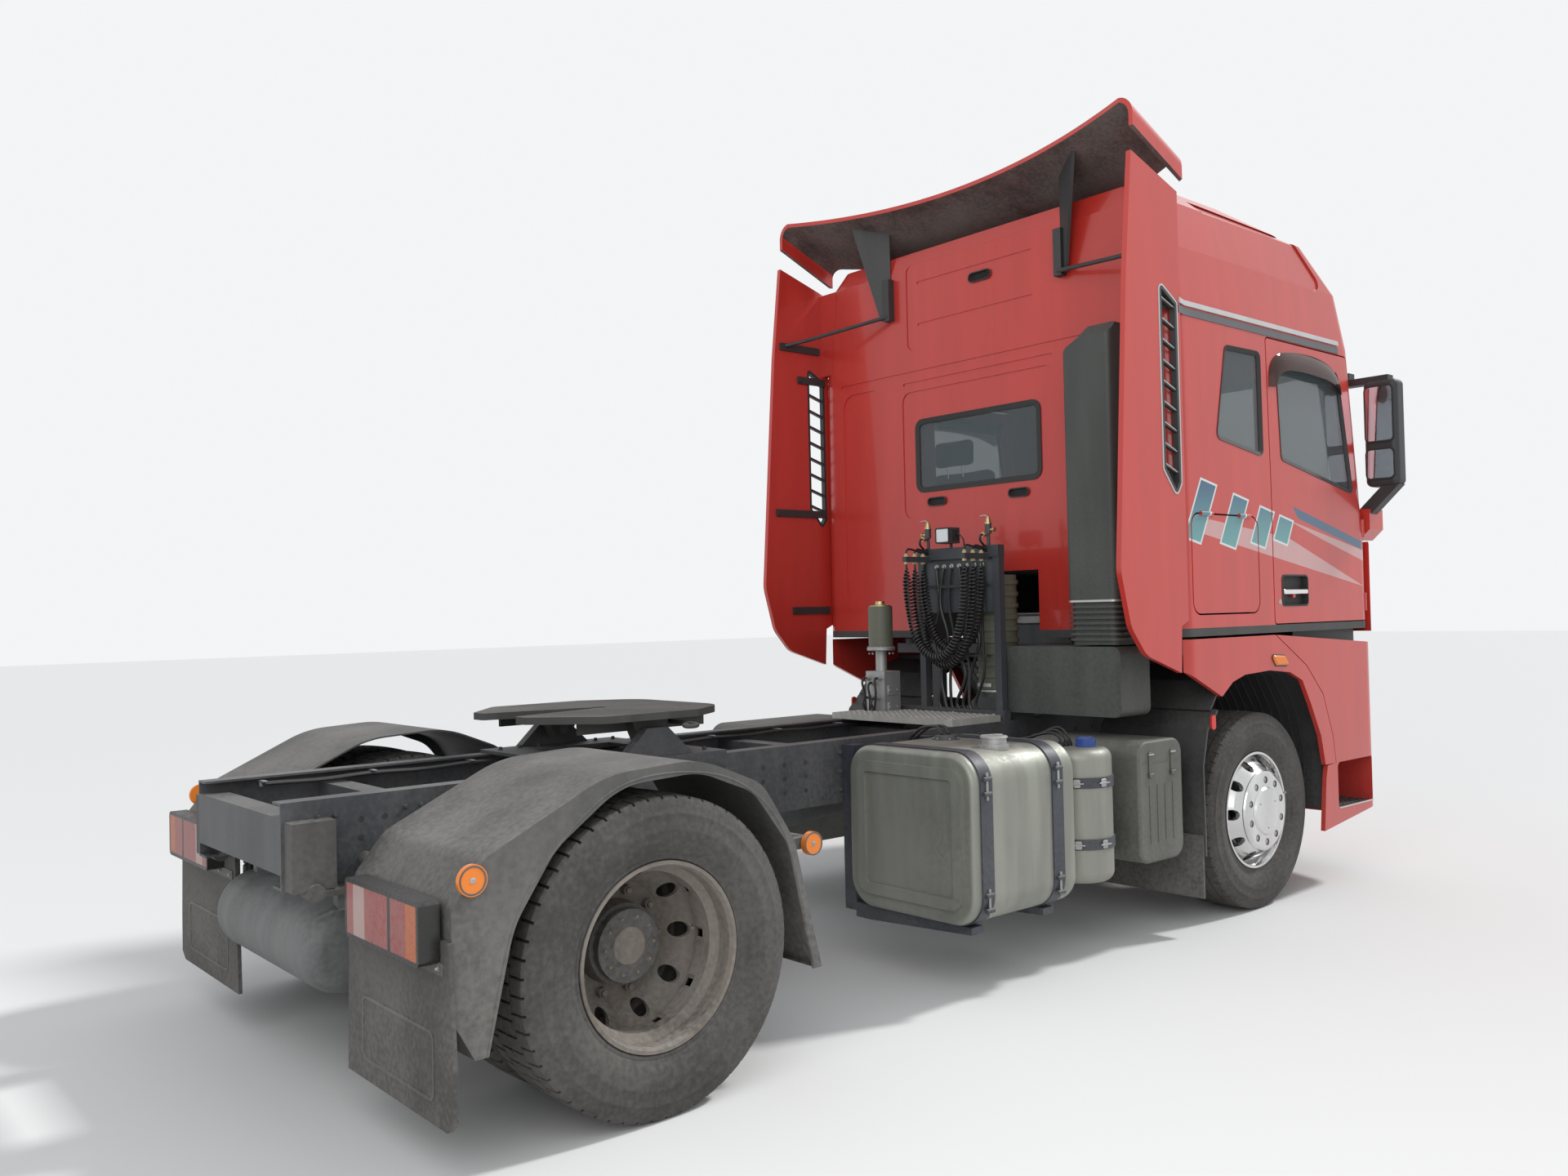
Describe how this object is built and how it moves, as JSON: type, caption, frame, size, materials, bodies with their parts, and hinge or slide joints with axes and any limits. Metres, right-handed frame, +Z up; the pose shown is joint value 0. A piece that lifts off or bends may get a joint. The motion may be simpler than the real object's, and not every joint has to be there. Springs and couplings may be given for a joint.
{
  "type": "semi truck tractor unit",
  "caption": "Two-axle semi truck tractor unit with a tilting sleeper cab, steered front wheels, twin rear wheels and a pitching fifth wheel coupling",
  "frame": {"origin": "on the ground under the middle of the vehicle's length and width", "axes": "+X points forward along the vehicle, +Y to its left, +Z up"},
  "size_m": [6.14, 2.86, 3.9298],
  "materials": {
    "frame_paint": "satin, dusty",
    "engine_paint": "satin",
    "radiator_core": "matt",
    "axle_iron": "matt, dusty",
    "spring_steel": "matt",
    "tank_aluminium": "dirty satin",
    "box_plastic": "dusty",
    "air_tank_paint": "satin",
    "deck_aluminium": "worn matt",
    "hose_rubber": "satin",
    "duct_plastic": "dusty",
    "fender_plastic": "dusty",
    "flap_rubber": "dusty",
    "red_lens": "dirty gloss",
    "coupling_iron": "greasy",
    "cab_red": "faded gloss",
    "dark_plastic": "dusty",
    "lamp_glass": "clear",
    "polished_rim": "polished, dusty",
    "dusty_rim": "dusty",
    "tyre_rubber": "dusty",
    "window_glass": "tinted",
    "floor_lining": "matt",
    "strut_steel": "satin",
    "dash_plastic": "matt",
    "seat_fabric": "woven",
    "bright_trim": "polished",
    "brass_fitting": "dull",
    "amber_lens": "gloss",
    "decal_blue": "satin",
    "decal_white": "satin",
    "seal_rubber": "matt",
    "strap_steel": "satin",
    "wheel_paint": "satin",
    "blue_cap": "dusty",
    "liner_fabric": "felted"
  },
  "bodies": {
    "chassis": {"frame_rails": "frame_paint", "frame_crossmembers": "frame_paint", "cab_mounts": "frame_paint", "tank_cradles": "frame_paint", "hose_stand": "frame_paint", "fifth_wheel_base": "frame_paint", "engine": "engine_paint", "drive_line": "engine_paint", "radiator": "radiator_core", "front_axle": "axle_iron", "rear_axle": "axle_iron", "leaf_springs": "spring_steel", "tanks": "tank_aluminium", "side_boxes": "box_plastic", "air_system": "air_tank_paint", "catwalk": "deck_aluminium", "hose_coil_1": "hose_rubber", "hose_coil_2": "hose_rubber", "hose_coil_3": "hose_rubber", "air_cleaner": "duct_plastic", "rear_fenders": "fender_plastic", "mud_flaps": "flap_rubber", "rear_lamps": "red_lens", "arch_panels": "cab_red", "step_boxes": "cab_red", "bumper": "cab_red", "wheel_guards": "dark_plastic", "headlamps": "lamp_glass"},
    "front_knuckle_left": {"front_knuckle_left": "axle_iron"},
    "front_knuckle_right": {"front_knuckle_right": "axle_iron"},
    "front_wheel_left": {"front_rim_left": "polished_rim", "front_tyre_left": "tyre_rubber"},
    "front_wheel_right": {"front_rim_right": "polished_rim", "front_tyre_right": "tyre_rubber"},
    "rear_wheels_left": {"rear_rims_left": "dusty_rim", "rear_tyres_left": "tyre_rubber"},
    "rear_wheels_right": {"rear_rims_right": "dusty_rim", "rear_tyres_right": "tyre_rubber"},
    "coupling_plate": {"fifth_wheel_plate": "coupling_iron"},
    "door_left": {"door_left": "cab_red", "door_glass_left": "window_glass"},
    "door_right": {"door_right": "cab_red", "door_glass_right": "window_glass"},
    "hatch_left": {"hatch_left": "cab_red"},
    "hatch_right": {"hatch_right": "cab_red"},
    "front_lid": {"front_lid": "cab_red"},
    "cab": {"cab_floor": "floor_lining", "cab_sides": "cab_red", "cab_rear_wall": "cab_red", "cab_front": "cab_red", "cab_roof": "cab_red", "cab_windows": "window_glass", "side_fairings": "cab_red", "louvres": "dark_plastic", "roof_deflector": "cab_red", "deflector_struts": "strut_steel", "intake_duct": "duct_plastic", "mirrors": "dark_plastic", "dashboard": "dash_plastic", "cab_cushions": "seat_fabric"}
  },
  "joints": [
    {"name": "steer_left", "type": "hinge", "parent": "chassis", "child": "front_knuckle_left", "pos_m": [1.63, 0.87, 0.506], "axis": [0, 0, 1], "range_deg": [-38, 38]},
    {"name": "steer_right", "type": "hinge", "parent": "chassis", "child": "front_knuckle_right", "pos_m": [1.63, -0.87, 0.506], "axis": [0, 0, 1], "range_deg": [-38, 38]},
    {"name": "front_spin_left", "type": "hinge", "parent": "front_knuckle_left", "child": "front_wheel_left", "pos_m": [1.63, 1.02, 0.506], "axis": [0, 1, 0], "continuous": true},
    {"name": "rear_spin_left", "type": "hinge", "parent": "chassis", "child": "rear_wheels_left", "pos_m": [-2.17, 0.915, 0.506], "axis": [0, 1, 0], "continuous": true},
    {"name": "front_spin_right", "type": "hinge", "parent": "front_knuckle_right", "child": "front_wheel_right", "pos_m": [1.63, -1.02, 0.506], "axis": [0, 1, 0], "continuous": true},
    {"name": "rear_spin_right", "type": "hinge", "parent": "chassis", "child": "rear_wheels_right", "pos_m": [-2.17, -0.915, 0.506], "axis": [0, 1, 0], "continuous": true},
    {"name": "coupling_pitch", "type": "hinge", "parent": "chassis", "child": "coupling_plate", "pos_m": [-1.61, 0, 1.1], "axis": [0, 1, 0], "range_deg": [-12, 12]},
    {"name": "cab_tilt", "type": "hinge", "parent": "chassis", "child": "cab", "pos_m": [2.83, 0, 0.95], "axis": [0, 1, 0], "range_deg": [0, 55]},
    {"name": "door_left_swing", "type": "hinge", "parent": "cab", "child": "door_left", "pos_m": [2.764, 1.225, 2], "axis": [0, 0, -1], "range_deg": [0, 70]},
    {"name": "hatch_left_swing", "type": "hinge", "parent": "cab", "child": "hatch_left", "pos_m": [1.25, 1.235, 2.014], "axis": [1, 0, 0], "range_deg": [0, 80]},
    {"name": "door_right_swing", "type": "hinge", "parent": "cab", "child": "door_right", "pos_m": [2.764, -1.225, 2], "axis": [0, 0, 1], "range_deg": [0, 70]},
    {"name": "hatch_right_swing", "type": "hinge", "parent": "cab", "child": "hatch_right", "pos_m": [1.25, -1.235, 2.014], "axis": [-1, 0, 0], "range_deg": [0, 80]},
    {"name": "front_lid_swing", "type": "hinge", "parent": "cab", "child": "front_lid", "pos_m": [3.034, 0, 2.12], "axis": [0, -1, 0], "range_deg": [0, 70]}
  ],
  "couplings": [
    {"joint": "steer_right", "follows": "steer_left", "ratio": 1}
  ]
}
